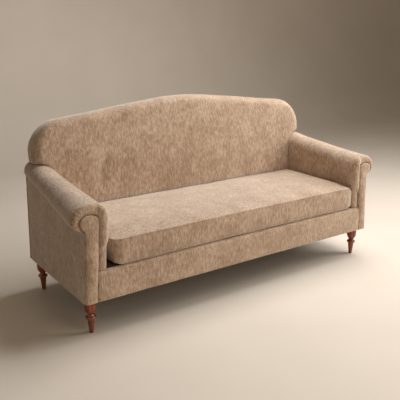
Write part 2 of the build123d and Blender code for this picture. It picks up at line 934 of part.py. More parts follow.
def make_corner_blocks():
    """Three-cornered glue blocks in the right-hand corners of the seat frame."""
    rise = (rail_height - block_height) / 2
    blocks = []
    for wall, step in ((rail_back, 1), (back_rail_front, -1)):
        corner = [
            (rail_inside_x, wall),
            (rail_inside_x - block_leg, wall),
            (rail_inside_x, wall + step * block_leg),
        ]
        plan = Plane.XY.offset(leg_height + rise) * make_face(Polyline(*corner, close=True))
        piece = extrude(plan, amount=block_height, dir=(0, 0, 1))
        for start, direction in corner_screw_places():
            piece -= screw_shape(start, direction, hole_gap)
        blocks.append(piece)
    return blocks


def dowel_places():
    """Middle of each right-hand dowel's shoulder: the plane where a rail meets a post."""
    places = []
    y = (rail_front + arm_taper_start) / 2
    for z in (leg_height + dowel_edge, rail_top - dowel_edge):
        places.append((frame_x, y, z))
        places.append((rail_inside_x, (back_rail_front + back_rail_rear) / 2, z))
    rises = (
        lower_rail_base + lower_rail_height / 2,
        top_rail_base + dowel_edge,
        top_rail_base + dowel_edge + dowel_spacing,
    )
    for rise in rises:
        point = back_plane.from_local_coords(Vector(frame_x, rise, -board_thickness / 2))
        places.append((point.X, point.Y, point.Z))
    return places


def make_dowels(gap):
    """Right-hand dowels, or their bores."""
    return [
        rod_x(x - dowel_in_rail - gap, x + dowel_in_post + gap, y, z, dowel_radius + gap)
        for x, y, z in dowel_places()
    ]


def without(shape, tools):
    """A shape with each of several tools cut from it."""
    for tool in tools:
        shape -= tool
    return shape


def all_dowel_bores():
    """Bores of every dowel on both sides."""
    return [side for bore in make_dowels(hole_gap) for side in both_sides(bore)]


def all_screw_bores():
    """Bores of every corner screw on both sides."""
    bores = [screw_shape(start, way, hole_gap) for start, way in corner_screw_places()]
    return [side for bore in bores for side in both_sides(bore)]


def spring_path(y_start, y_end):
    """Zigzag line of one seat spring, with its corners cut."""
    pitch = (y_end - y_start) / (spring_bar_count - 1)
    points = [(-spring_reach + spring_bend, y_start)]
    side = 1
    for index in range(spring_bar_count - 1):
        y = y_start + index * pitch
        points.append((side * (spring_reach - spring_bend), y))
        points.append((side * spring_reach, y + spring_bend))
        points.append((side * spring_reach, y + pitch - spring_bend))
        points.append((side * (spring_reach - spring_bend), y + pitch))
        side = -side
    points.append((side * (spring_reach - spring_bend), y_end))
    return Polyline(*points)


def spring_end_depths():
    """Depth of the first and the last bar of each spring."""
    return rail_back - clip_depth / 2, back_rail_front + clip_depth / 2


def spring_columns():
    """Middle of each spring across the width."""
    count = int(2 * (rail_inside_x - spring_edge) / spring_pitch) + 1
    return [(index - (count - 1) / 2) * spring_pitch for index in range(count)]


def make_springs():
    """Zigzag springs from the front rail to the back seat rail."""
    path = Pos(0, 0, spring_z) * spring_path(*spring_end_depths())
    section = Plane(origin=path @ 0, z_dir=path % 0) * Rectangle(spring_wire, spring_wire)
    spring = sweep(section, path=path, transition=Transition.RIGHT)
    return group([Pos(x, 0, 0) * spring for x in spring_columns()])


def clip_profile(step):
    """Side view of a spring clip: a strip on the rail, turned back over the end bar."""
    half = clip_depth / 2
    room = spring_wire / 2 + clip_sheet / 4
    return [
        (-half * step, 0),
        (half * step, 0),
        (half * step, clip_sheet),
        (-room * step, clip_sheet),
        (-room * step, clip_height - clip_sheet),
        (room * step, clip_height - clip_sheet),
        (room * step, clip_height),
        (-(room + clip_sheet) * step, clip_height),
        (-(room + clip_sheet) * step, clip_sheet),
        (-half * step, clip_sheet),
    ]


def make_spring_clips():
    """Clips for both ends of every spring."""
    clips = []
    for y, step in zip(spring_end_depths(), (1, -1)):
        points = [(y + across, rail_top + up) for across, up in clip_profile(step)]
        clip = board_in_width(points, -clip_length / 2, clip_length / 2)
        clips.extend(Pos(x, 0, 0) * clip for x in spring_columns())
    return group(clips)


def make_tie_wires():
    """Tie wires under the springs, from side rail to side rail."""
    z = spring_z - spring_wire / 2 - tie_wire_diameter / 2
    wires = []
    for y in (rail_back + tie_wire_inset, back_rail_front - tie_wire_inset):
        wires.append(rod_x(-rail_inside_x, rail_inside_x, y, z, tie_wire_diameter / 2))
    return group(wires)


# Upholstery
save_pair("arm_pad", make_arm_pad())
save_pair("arm_facing", make_facing())
save_pair("outside_arm", make_outside_arm())
save("back_pad", make_back_pad())
save("outside_back", make_outside_back())
save("front_border", make_front_border())
deck_limits = (front + border_lip_rear + fit_gap, back_rail_rear)
save("seat_deck", block((-frame_x, frame_x), deck_limits, (deck_bottom, deck_top)))
save("dust_cover", make_dust_cover())

# Seat cushion
save("cushion_cover", make_cushion_cover())
save("cushion_foam", make_cushion_foam())
save("cushion_zip", make_zip_tape())
save("zip_slider", make_zip_slider())

# Seat frame
dowel_bores = all_dowel_bores()
screw_bores = all_screw_bores()
bolt_bores = frame_bolt_bores()
rail_z = (leg_height, rail_top)
front_rail = block((-frame_x, frame_x), (rail_front, rail_back), rail_z)
save("front_rail", without(front_rail, dowel_bores + screw_bores))
back_seat_rail = block((-rail_inside_x, rail_inside_x), (back_rail_front, back_rail_rear), rail_z)
save("back_seat_rail", without(back_seat_rail, dowel_bores + screw_bores))
side_rail = block((rail_inside_x, frame_x), (rail_back, side_rail_end), rail_z)
save_pair("side_rail", without(side_rail, dowel_bores + screw_bores + bolt_bores))
brace_x = (brace_offset - brace_width / 2, brace_offset + brace_width / 2)
brace = block(brace_x, (rail_back, back_rail_front), (leg_height, leg_height + brace_height))
save("seat_braces", group(both_sides(brace)))
save("corner_blocks", group([side for piece in make_corner_blocks() for side in both_sides(piece)]))
screws = [screw_shape(start, way, 0) for start, way in corner_screw_places()]
save("corner_screws", group([side for screw in screws for side in both_sides(screw)]))
save("leg_blocks", group([side for piece in make_right_leg_blocks() for side in both_sides(piece)]))
bolts = [make_frame_bolt(y) for y in frame_bolt_depths()]
save("frame_bolts", group([side for bolt in bolts for side in both_sides(bolt)]))
save("frame_dowels", group([side for dowel in make_dowels(0) for side in both_sides(dowel)]))

# Arm frames
save_pair("arm_front_board", without(make_arm_front_board(), dowel_bores))
save_pair("arm_rail", make_arm_rail())
save_pair("arm_stretcher", make_arm_stretcher())
save_pair("arm_lining", make_arm_lining())

# Back frame
save_pair("back_post", without(make_back_post(), dowel_bores))
save("back_top_rail", without(make_back_top_rail(), dowel_bores))
lower_rail = back_member(-frame_x, frame_x, lower_rail_base, lower_rail_top, board_thickness)
save("back_lower_rail", without(lower_rail, dowel_bores))
upright_low = upright_offset - upright_width / 2
upright_high = upright_offset + upright_width / 2
upright = back_member(upright_low, upright_high, lower_rail_top, top_rail_base, board_thickness)
save("back_uprights", group(both_sides(upright)))
save("back_webbing", make_back_webbing())

# Suspension
save("seat_springs", make_springs())
save("spring_clips", make_spring_clips())
save("spring_tie_wires", make_tie_wires())

# Legs and their fixings
leg = make_leg()
for place, (x, y) in leg_places().items():
    save(f"{place}_leg", Pos(x, y, 0) * leg)
spots = list(leg_places().values())
for name, fixing in (
    ("foot_glides", make_glide()),
    ("leg_hanger_bolts", make_hanger_bolt()),
    ("leg_tee_nuts", make_tee_nut()),
):
    save(name, group([Pos(x, y, 0) * fixing for x, y in spots]))
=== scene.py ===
import json
import math

import bmesh
import bpy
import numpy as np
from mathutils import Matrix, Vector, noise
from mathutils.bvhtree import BVHTree


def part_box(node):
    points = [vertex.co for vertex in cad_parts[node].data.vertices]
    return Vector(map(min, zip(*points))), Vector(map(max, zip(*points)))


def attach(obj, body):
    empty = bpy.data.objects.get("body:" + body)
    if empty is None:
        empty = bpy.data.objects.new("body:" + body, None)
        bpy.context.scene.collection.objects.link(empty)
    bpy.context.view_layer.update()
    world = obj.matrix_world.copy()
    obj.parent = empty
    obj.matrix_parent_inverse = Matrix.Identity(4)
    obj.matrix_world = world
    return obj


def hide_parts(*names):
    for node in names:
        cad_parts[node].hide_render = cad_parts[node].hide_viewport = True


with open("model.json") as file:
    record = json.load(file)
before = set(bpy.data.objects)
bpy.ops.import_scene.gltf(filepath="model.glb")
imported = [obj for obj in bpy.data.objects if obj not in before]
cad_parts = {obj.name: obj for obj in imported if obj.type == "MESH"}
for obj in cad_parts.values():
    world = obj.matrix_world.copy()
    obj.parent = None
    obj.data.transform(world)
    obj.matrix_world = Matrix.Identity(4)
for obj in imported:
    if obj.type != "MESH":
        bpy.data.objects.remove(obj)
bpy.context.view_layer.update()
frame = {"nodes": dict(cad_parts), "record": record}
scene = bpy.context.scene

# Rolled arm loveseat: upholstery, materials, light and camera round the CAD frame.
# Metres, in the CAD frame: +X right, +Y rear, +Z up.

# Camera
LENS = 54.44
SENSOR = 36.0
AZIMUTH = math.radians(-35.24)
ELEVATION = math.radians(16.16)
DISTANCE = 3.455
TARGET = Vector((0.0367, 0.1403, 0.373))

# Meshes
FINE_VOXEL = 0.003
ARM_VOXEL = 0.0032
SOFT_VOXEL = 0.005
WIDE_VOXEL = 0.007
CUSHION_STEP = 0.010
SHEET_STEP = 0.060
BACK_STEP = 0.020
FLAT_ANGLE = math.radians(1)
SHARP_ANGLE = math.radians(40)
WELD = 1e-6
TINY = 1e-9

# Rounds of smoothing, and how far each goes
ARM_ROUNDS = 6
ARM_FILLED_ROUNDS = 4
FACING_ROUNDS = 8
FACING_SWELLED_ROUNDS = 2
PANEL_ROUNDS = 4
BACK_ROUNDS = 4
EAR_ROUNDS = 20
BORDER_ROUNDS = 3
SMOOTHING = 0.5

# Hand-made unevenness
UNEVEN = 0.0016
UNEVEN_SPAN = 0.17

# Lean of the arms, as slopes, with the spread and sink that go with it
LEAN_FRONT = 0.045
LEAN_REAR = 0.027
LEAN_LEVEL = 0.309
LEAN_TOP = 0.62
LEAN_START = 0.70
EAR_LEVEL = 0.72
ARM_SPREAD = 0.008
ARM_SINK = 0.007
ARM_SINK_LOW = 0.44

# Fullness of the arms
ROLL_TOP_FRONT = 0.622
ROLL_TOP_REAR = 0.678
ROLL_FADE = 0.10
BAND_END = 0.40
BAND_SLANT = 0.7
BAND_TAPER = 0.02
BAND_DEPTH = 0.02
INSIDE_FILL = 0.009
OUTER_FILL = 0.008
CREST_REAR_FILL = 0.008
CREST_REAR_START = 0.12
BAND_FILL = 0.012
GROOVE_DEPTH = 0.009
GROOVE_WIDTH = 0.008
GROOVE_REACH = 0.024

# Pleats at the front of the roll: angles in degrees, and where they begin in shares of its radius
PLEAT_LOW = -60.0
PLEAT_HIGH = 34.0
PLEAT_STEP = 14.0
PLEAT_SHARP = 3
PLEAT_DEPTH = 0.0042
PLEAT_LENGTH = 0.050
PLEAT_FROM = 0.6
PLEAT_FULL = 0.75

# Facings, panels and border
FACING_SET_BACK = 0.005
FACING_HELD = 0.4
PILLAR_OUTER = 0.870
PILLAR_WIDEN = 0.016
PILLAR_INWARD = 0.006
PILLAR_FULL = 0.45
HEAD_WIDEN = 0.020
HEAD_MIDDLE = 0.543
HEAD_NOTCH = 0.510
HEAD_DROP = 0.020
HEAD_RISE = 0.002
HEAD_FADE = 0.15
RETURN_SHARE = 0.1
RETURN_CLEAR = 0.0015
PANEL_FILL = 0.003
PANEL_EDGE = 0.012
PANEL_CORNER = 0.030
BORDER_FILL = 0.003

# Back
BACK_EDGE = 0.0045
BACK_EDGE_SEGMENTS = 4
BACK_LAP = 0.006
BACK_TUCK = 0.018
BACK_TUCK_FULL = 0.006
BACK_CROWN = 0.010
BACK_CROWN_START = 0.46
BACK_CROWN_FULL = 0.68
EAR_CLEAR = 0.050
EAR_LIFT = 0.012
EAR_DRAW = 0.003

# Seat cushion
CUSHION_CORNER = 0.040
CUSHION_CROWN = 0.021
CUSHION_EDGE = 0.126
CUSHION_FOOT = 0.020
CUSHION_FOOT_RINGS = 4
CUSHION_DOME_POWER = 2.2
CUSHION_SET_IN = 0.006
CUSHION_SWELL = 0.007
CUSHION_DRAW = 0.006
CUSHION_DRAW_REACH = 0.11
CUSHION_SLOPE = 0.22
CUSHION_REAR_SLOPE = 0.06
CUSHION_END_SLOPE = 0.09
CUSHION_REAR_RISE = 0.010
CUSHION_LOWER_CORNER = 0.048
CUSHION_SHIFT = 0.016
CUSHION_WIDEN = 0.002
CUSHION_END = 0.07
CUSHION_END_DROOP = 0.003
CUSHION_END_CREASE = 0.3
CUSHION_END_REACH = 0.10
CUSHION_END_CLEAR = 0.0015
CUSHION_END_CORNER = 0.028
CUSHION_END_BEHIND = 0.03
SEAM_RINGS = 3
SEAM_FADE = 0.5
SEAM_HELD = 0.9
SEAM_LIP = 0.0016
SEAM_LIP_FROM = 0.75
SEAM_DEPTH = 0.0018
SEAM_DEPTH_FROM = 0.5
PUCKER = 0.0010
PUCKER_SPAN = 0.026

# Channel for the zip
ZIP_WALL = 0.004
ZIP_CLEAR = 0.0005
ZIP_DEPTH = 0.003

# Seat deck and dust cover
DECK_DIP = 0.003
DUST_SAG = 0.005

# Cloth
PRESSURE = 4.0
CLOTH_FRAMES = 20

# Colours, linear
FABRIC_DARK = (0.278, 0.174, 0.110, 1.0)
FABRIC_MID = (0.468, 0.338, 0.242, 1.0)
FABRIC_LIGHT = (0.680, 0.545, 0.428, 1.0)
SHEEN_TINT = (1.0, 0.97, 0.93, 1.0)
FLOOR_DARK = (0.73, 0.66, 0.58, 1.0)
FLOOR_LIGHT = (0.77, 0.70, 0.62, 1.0)
SURROUND = (1.0, 0.80, 0.60, 1.0)
SURROUND_STRENGTH = 0.14
SURROUND_SEEN = (0.62, 0.57, 0.51, 1.0)

# Nap of the fabric, upright or on level faces: scales, shares of the tone, and tones of the colours
CLOUD_SCALE = (10, 10, 7)
STREAK_SCALE = (126, 126, 38)
STREAK_LEVEL_SCALE = (100, 75, 100)
PILE_SCALE = (360, 360, 170)
PILE_LEVEL_SCALE = (320, 260, 320)
CLOUD_SHARE = 0.27
STREAK_SHARE = 0.50
PILE_SHARE = 0.23
STREAK_RELIEF = 0.6
TONE_DARK = 0.36
TONE_MID = 0.50
TONE_LIGHT = 0.64
LEVEL_FROM = 0.55
LEVEL_FULL = 0.85

# Other materials
GRAIN_SCALE = (60, 60, 5)
PORE_SCALE = (420, 420, 26)
PORE_SHARE = 0.25
WEAVE_SHARE = 0.4

# Floor and backdrop
FLOOR_HALF = 9.0
WALL_PLACE = 3.0
WALL_TOP = 7.0
SWEEP_RADIUS = 1.2
SWEEP_STEPS = 12

arm_low, arm_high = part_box("right_arm_pad")
facing_low, facing_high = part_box("right_arm_facing")
panel_low, panel_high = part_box("right_outside_arm")
cushion_low, cushion_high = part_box("cushion_cover")
roll_radius = (arm_high.x - arm_low.x) / 2
roll_x = (arm_high.x + arm_low.x) / 2
roll_z = ROLL_TOP_FRONT - roll_radius


def new_piece(name, mesh):
    """A mesh as an object of the scene."""
    piece = bpy.data.objects.new(name, mesh)
    scene.collection.objects.link(piece)
    return piece


def bake(piece):
    """Put the result of the piece's modifiers into its mesh."""
    graph = bpy.context.evaluated_depsgraph_get()
    graph.update()
    shape = piece.evaluated_get(graph)
    mesh = bpy.data.meshes.new_from_object(shape, preserve_all_data_layers=True, depsgraph=graph)
    piece.modifiers.clear()
    piece.data = mesh


def remesh(piece, voxel):
    """Even quads over a closed mesh."""
    modifier = piece.modifiers.new("remesh", "REMESH")
    modifier.mode = "VOXEL"
    modifier.voxel_size = voxel
    modifier.use_smooth_shade = True
    bake(piece)


def points_of(piece):
    """The piece's vertices as an array."""
    points = np.empty(len(piece.data.vertices) * 3)
    piece.data.vertices.foreach_get("co", points)
    return points.reshape(-1, 3)


def normals_of(piece):
    """The piece's vertex normals as an array."""
    normals = np.empty(len(piece.data.vertices) * 3)
    piece.data.vertices.foreach_get("normal", normals)
    return normals.reshape(-1, 3)


def place(piece, points):
    """Move the piece's vertices."""
    piece.data.vertices.foreach_set("co", points.ravel())
    piece.data.update()


def opened(mesh):
    """A mesh open for editing, with vertices that lie on each other joined."""
    work = bmesh.new()
    work.from_mesh(mesh)
    bmesh.ops.remove_doubles(work, verts=work.verts, dist=WELD)
    return work


def closed(work, name):
    """An edited mesh as an object of the scene."""
    mesh = bpy.data.meshes.new(name)
    work.to_mesh(mesh)
    work.free()
    return new_piece(name, mesh)


def soft_copy(node, name, voxel):
    """A new closed mesh in the form of a CAD solid, evenly meshed."""
    piece = closed(opened(frame["nodes"][node].data), name)
    remesh(piece, voxel)
    return piece


def relax(piece, rounds, only=None):
    """Smooth the piece, or only some of its vertices, which rounds its edges."""
    modifier = piece.modifiers.new("relax", "SMOOTH")
    modifier.iterations = rounds
    modifier.factor = SMOOTHING
    if only is not None:
        group = piece.vertex_groups.new(name="relaxed")
        group.add([int(index) for index in np.flatnonzero(only)], 1.0, "REPLACE")
        modifier.vertex_group = group.name
    bake(piece)
    piece.vertex_groups.clear()


def subdivide(piece):
    """One level of subdivision."""
    modifier = piece.modifiers.new("subdivide", "SUBSURF")
    modifier.levels = 1
    bake(piece)


def smoothstep(low, high, values):
    """0 below low, 1 above high, smooth between."""
    share = np.clip((values - low) / (high - low), 0, 1)
    return share * share * (3 - 2 * share)


def bell(low, high, values):
    """1 in the middle of a range, 0 at its ends and beyond."""
    share = np.clip((values - low) / (high - low), 0, 1)
    return 4 * share * (1 - share)


def unevenness(points, span):
    """A smooth wandering value from -1 to 1 at each point."""
    return np.array([noise.noise(Vector(point) / span) for point in points])


def swell(piece, amount):
    """Push each vertex along its normal."""
    place(piece, points_of(piece) + normals_of(piece) * amount[:, None])


def settle(piece):
    """Slight hand-made unevenness over the whole piece."""
    swell(piece, UNEVEN * unevenness(points_of(piece), UNEVEN_SPAN))


def round_off(points, first, second, radius):
    """Round an outer corner, given by an axis, a limit and a direction on each of its two sides."""
    beyond = []
    for axis, limit, way in (first, second):
        beyond.append(np.clip(way * (points[:, axis] - limit) + radius, 0, None))
    reach = np.maximum(np.hypot(*beyond), TINY)
    share = np.where(reach > WELD, np.maximum(*beyond) / reach, 1)
    for (axis, _, way), over in zip((first, second), beyond):
        points[:, axis] += way * over * (share - 1)


def inflate(piece, held, cap):
    """Swell the piece as pressurised cloth, with some vertices held and each move capped."""
    before = points_of(piece)
    group = piece.vertex_groups.new(name="held")
    group.add([int(index) for index in np.flatnonzero(held)], 1.0, "REPLACE")
    cloth = piece.modifiers.new("cloth", "CLOTH")
    cloth.settings.vertex_group_mass = "held"
    cloth.settings.use_pressure = True
    cloth.settings.uniform_pressure_force = PRESSURE
    cloth.settings.effector_weights.gravity = 0
    cloth.point_cache.frame_start = 1
    cloth.point_cache.frame_end = CLOTH_FRAMES
    for number in range(1, CLOTH_FRAMES + 1):
        scene.frame_set(number)
    bake(piece)
    scene.frame_set(1)
    piece.vertex_groups.clear()
    move = points_of(piece) - before
    length = np.linalg.norm(move, axis=1, keepdims=True)
    capped = cap * np.tanh(length / cap) / np.maximum(length, TINY)
    place(piece, before + move * capped)


class Material:
    """A procedural material under construction."""

    def __init__(self, name):
        self.material = bpy.data.materials.new(name)
        self.material.use_nodes = True
        self.tree = self.material.node_tree
        self.shader = self.tree.nodes["Principled BSDF"]
        self.coordinates = self.node("ShaderNodeTexCoord").outputs["Object"]

    def node(self, kind, **values):
        """A node with some of its inputs or settings given."""
        made = self.tree.nodes.new(kind)
        for key, value in values.items():
            if key in made.inputs:
                made.inputs[key].default_value = value
            else:
                setattr(made, key, value)
        return made

    def join(self, output, target):
        """A link from an output to an input."""
        self.tree.links.new(output, target)

    def noise(self, scale, detail, roughness=0.55, distortion=0.0):
        """A noise value over the object, at a scale along each axis."""
        mapping = self.node("ShaderNodeMapping", Scale=scale)
        self.join(self.coordinates, mapping.inputs["Vector"])
        made = self.node(
            "ShaderNodeTexNoise", Scale=1.0, Detail=detail, Roughness=roughness, Distortion=distortion
        )
        self.join(mapping.outputs["Vector"], made.inputs["Vector"])
        return made.outputs["Fac"]

    def combine(self, operation, first, second):
        """Two values combined."""
        made = self.node("ShaderNodeMath", operation=operation)
        for socket, value in zip(made.inputs, (first, second)):
            if isinstance(value, (int, float)):
                socket.default_value = value
            else:
                self.join(value, socket)
        return made.outputs[0]

    def blend(self, *shares):
        """Values added up, each by its share."""
        total = 0.0
        for value, share in shares:
            total = self.combine("ADD", total, self.combine("MULTIPLY", value, share))
        return total

    def ramp(self, value, stops):
        """Colours by value."""
        made = self.node("ShaderNodeValToRGB")
        elements = made.color_ramp.elements
        while len(elements) < len(stops):
            elements.new(0.5)
        for element, (position, colour) in zip(elements, stops):
            element.position = position
            element.color = colour
        self.join(value, made.inputs["Fac"])
        return made.outputs["Color"]

    def span(self, value, low, high, start=0.0, end=1.0):
        """A value brought from one range to another."""
        made = self.node("ShaderNodeMapRange")
        made.inputs["From Min"].default_value = start
        made.inputs["From Max"].default_value = end
        made.inputs["To Min"].default_value = low
        made.inputs["To Max"].default_value = high
        self.join(value, made.inputs["Value"])
        return made.outputs["Result"]

    def bump(self, height, strength, distance):
        """Relief from a height value."""
        made = self.node("ShaderNodeBump", Strength=strength, Distance=distance)
        self.join(height, made.inputs["Height"])
        self.join(made.outputs["Normal"], self.shader.inputs["Normal"])

    def colour(self, output):
        """The base colour, from a node."""
        self.join(output, self.shader.inputs["Base Color"])

    def roughness(self, output):
        """The roughness, from a node."""
        self.join(output, self.shader.inputs["Roughness"])


def chenille():
    """Taupe chenille: cloudy nap in upright streaks, lying front to back on level faces."""
    made = Material("chenille")
    normal = made.node("ShaderNodeNewGeometry").outputs["Normal"]
    parts = made.node("ShaderNodeSeparateXYZ")
    made.join(normal, parts.inputs[0])
    level = made.span(parts.outputs["Z"], low=0.0, high=1.0, start=LEVEL_FROM, end=LEVEL_FULL)

    def by_face(upright, flat):
        """One value on upright faces, another on level ones."""
        mix = made.node("ShaderNodeMix", data_type="FLOAT")
        made.join(level, mix.inputs[0])
        made.join(upright, mix.inputs[2])
        made.join(flat, mix.inputs[3])
        return mix.outputs[0]

    cloud = made.noise(CLOUD_SCALE, detail=5.0, roughness=0.6, distortion=0.5)
    streak = by_face(
        made.noise(STREAK_SCALE, detail=3.0, roughness=0.6, distortion=0.3),
        made.noise(STREAK_LEVEL_SCALE, detail=3.0, roughness=0.6, distortion=0.3),
    )
    pile = by_face(
        made.noise(PILE_SCALE, detail=3.0, roughness=0.6),
        made.noise(PILE_LEVEL_SCALE, detail=3.0, roughness=0.6),
    )
    tone = made.blend((cloud, CLOUD_SHARE), (streak, STREAK_SHARE), (pile, PILE_SHARE))
    stops = ((TONE_DARK, FABRIC_DARK), (TONE_MID, FABRIC_MID), (TONE_LIGHT, FABRIC_LIGHT))
    made.colour(made.ramp(tone, stops))
    made.roughness(made.span(streak, low=0.78, high=0.95))
    made.bump(made.blend((streak, STREAK_RELIEF), (pile, 1.0)), strength=0.35, distance=0.0022)
    made.shader.inputs["Sheen Weight"].default_value = 1.0
    made.shader.inputs["Sheen Roughness"].default_value = 0.42
    made.shader.inputs["Sheen Tint"].default_value = SHEEN_TINT
    made.shader.inputs["Specular IOR Level"].default_value = 0.2
    return made.material


def wood(name, dark, light, roughness, coat):
    """Wood with its grain along the height."""
    made = Material(name)
    grain = made.noise(GRAIN_SCALE, detail=6.0, roughness=0.65, distortion=0.6)
    pore = made.noise(PORE_SCALE, detail=2.0)
    tone = made.blend((grain, 1 - PORE_SHARE), (pore, PORE_SHARE))
    made.colour(made.ramp(tone, ((0.36, dark), (0.64, light))))
    made.roughness(made.span(pore, low=roughness - 0.05, high=roughness + 0.08))
    made.bump(pore, strength=0.08, distance=0.0006)
    made.shader.inputs["Coat Weight"].default_value = coat
    made.shader.inputs["Coat Roughness"].default_value = 0.12
    return made.material


def cloth(name, dark, light, thread):
    """Plain woven cloth, with threads of a given width."""
    made = Material(name)
    across = made.node("ShaderNodeTexWave", bands_direction="X", Scale=0.5 / thread)
    along = made.node("ShaderNodeTexWave", bands_direction="Y", Scale=0.5 / thread)
    for wave in (across, along):
        made.join(made.coordinates, wave.inputs["Vector"])
    weave = made.combine("MULTIPLY", across.outputs["Fac"], along.outputs["Fac"])
    cloud = made.noise(scale=(18, 18, 18), detail=5.0)
    tone = made.blend((weave, WEAVE_SHARE), (cloud, 1 - WEAVE_SHARE))
    made.colour(made.ramp(tone, ((0.2, dark), (0.75, light))))
    made.roughness(made.span(cloud, low=0.8, high=0.95))
    made.bump(weave, strength=0.3, distance=0.0006)
    return made.material


def metal(name, dark, light, roughness):
    """Bare metal with drawn lines and slight staining."""
    made = Material(name)
    line = made.noise(scale=(40, 400, 400), detail=3.0)
    stain = made.noise(scale=(25, 25, 25), detail=4.0)
    made.colour(made.ramp(stain, ((0.35, dark), (0.65, light))))
    made.roughness(made.span(line, low=roughness - 0.08, high=roughness + 0.12))
    made.bump(line, strength=0.1, distance=0.0003)
    made.shader.inputs["Metallic"].default_value = 1.0
    return made.material


def plastic(name, dark, light, roughness):
    """Moulded plastic with a faint grain."""
    made = Material(name)
    cloud = made.noise(scale=(30, 30, 30), detail=3.0)
    grain = made.noise(scale=(900, 900, 900), detail=2.0)
    made.colour(made.ramp(cloud, ((0.35, dark), (0.65, light))))
    made.roughness(made.span(grain, low=roughness - 0.06, high=roughness + 0.06))
    made.bump(grain, strength=0.1, distance=0.0003)
    return made.material


def board(name, dark, light, scale):
    """Pressed or foamed board with a fine speckle."""
    made = Material(name)
    speck = made.noise(scale=(scale, scale, scale), detail=5.0, roughness=0.7)
    made.colour(made.ramp(speck, ((0.3, dark), (0.7, light))))
    made.roughness(made.span(speck, low=0.8, high=0.95))
    made.bump(speck, strength=0.25, distance=0.001)
    return made.material


def make_materials():
    """One material for each of the record's slots."""
    return {
        "chenille": chenille(),
        "frame_timber": wood("frame_timber", (0.36, 0.22, 0.11, 1), (0.58, 0.40, 0.22, 1), 0.6, 0.0),
        "mahogany": wood("mahogany", (0.090, 0.014, 0.003, 1), (0.400, 0.078, 0.010, 1), 0.25, 0.35),
        "spring_steel": metal("spring_steel", (0.16, 0.16, 0.17, 1), (0.34, 0.34, 0.35, 1), 0.38),
        "fibreboard": board("fibreboard", (0.13, 0.08, 0.04, 1), (0.24, 0.16, 0.09, 1), 160),
        # deck cloth: partly its own dark brown, and darkened further as painted shade for the deep shadowed
        # gap under the cushion's front
        "deck_cloth": cloth("deck_cloth", (0.040, 0.027, 0.018, 1), (0.085, 0.058, 0.040, 1), 0.0016),
        "cambric": cloth("cambric", (0.004, 0.004, 0.004, 1), (0.018, 0.017, 0.016, 1), 0.0012),
        "foam": board("foam", (0.62, 0.55, 0.36, 1), (0.80, 0.74, 0.54, 1), 400),
        "webbing": cloth("webbing", (0.08, 0.05, 0.025, 1), (0.20, 0.13, 0.07, 1), 0.0022),
        "zip_nylon": plastic("zip_nylon", (0.20, 0.13, 0.085, 1), (0.28, 0.19, 0.13, 1), 0.5),
        "zip_metal": metal("zip_metal", (0.30, 0.28, 0.26, 1), (0.48, 0.46, 0.43, 1), 0.3),
        "glide_nylon": plastic("glide_nylon", (0.015, 0.012, 0.01, 1), (0.03, 0.024, 0.02, 1), 0.4),
    }


materials = make_materials()


def dress(piece, slot, nodes, body="frame"):
    """Give a piece its material, and let it stand for CAD nodes on their body."""
    piece.data.materials.clear()
    piece.data.materials.append(materials[slot])
    for polygon in piece.data.polygons:
        polygon.use_smooth = True
    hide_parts(*nodes)
    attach(piece, body)


def dress_cad_nodes():
    """Materials for the CAD nodes that stay in sight."""
    for subpart in frame["record"]["subparts"]:
        node = frame["nodes"][subpart["node"]]
        node.data.materials.clear()
        node.data.materials.append(materials[subpart["material_slot"]])


def mirrored(piece, name):
    """The left-hand twin of a right-hand piece."""
    mesh = piece.data.copy()
    twin = new_piece(name, mesh)
    points = points_of(twin)
    points[:, 0] *= -1
    place(twin, points)
    mesh.flip_normals()
    return twin


def lean(piece):
    """Lean the arms' covers inward toward their tops, spread their outer faces and sink their fronts."""
    points = points_of(piece)
    x, y, z = points.T
    run = smoothstep(arm_low.y, arm_high.y, y)
    slope = LEAN_FRONT + run * (LEAN_REAR - LEAN_FRONT)
    rise = np.minimum(z, LEAN_TOP) - LEAN_LEVEL
    beside = smoothstep(LEAN_START, arm_low.x, np.abs(x))
    below_ears = 1 - smoothstep(LEAN_TOP, EAR_LEVEL, z) * run
    shift = slope * rise * beside * below_ears
    shift -= ARM_SPREAD * smoothstep(arm_low.x, panel_high.x, np.abs(x)) * below_ears
    points[:, 0] -= np.sign(x) * shift
    points[:, 2] -= ARM_SINK * smoothstep(ARM_SINK_LOW, LEAN_TOP, z) * (1 - run**2) * beside
    place(piece, points)


def fill_roll(arm):
    """Fuller padding on the roll, on its front band, and on the inside arm above the band's end."""
    x, y, z = points_of(arm).T
    side, along, up = normals_of(arm).T
    toward_front = 1 - smoothstep(arm_low.y, ROLL_FADE, y)
    rise = ROLL_TOP_REAR - ROLL_TOP_FRONT
    centre = roll_z + rise * (y - arm_low.y) / (arm_high.y - arm_low.y)
    band_end = BAND_END + BAND_SLANT * (facing_low.x - x)
    above_band = smoothstep(band_end - BAND_TAPER, band_end + BAND_TAPER, z)
    inside = np.clip(-side, 0, 1) * (x < roll_x) * above_band
    outer = np.clip(side, 0, 1) * smoothstep(roll_x, arm_high.x, x)
    outer *= smoothstep(-roll_radius, 0, z - centre)
    crest = np.clip(up, 0, 1) * (z > centre)
    band = np.clip(-along, 0, 1) * (y < arm_low.y + BAND_DEPTH)
    full = inside * INSIDE_FILL * (1 + toward_front) / 2
    full += outer * OUTER_FILL * toward_front
    full += crest * CREST_REAR_FILL * smoothstep(CREST_REAR_START, arm_high.y, y)
    full += band * above_band * BAND_FILL * bell(arm_low.x, facing_low.x, x)
    swell(arm, full)


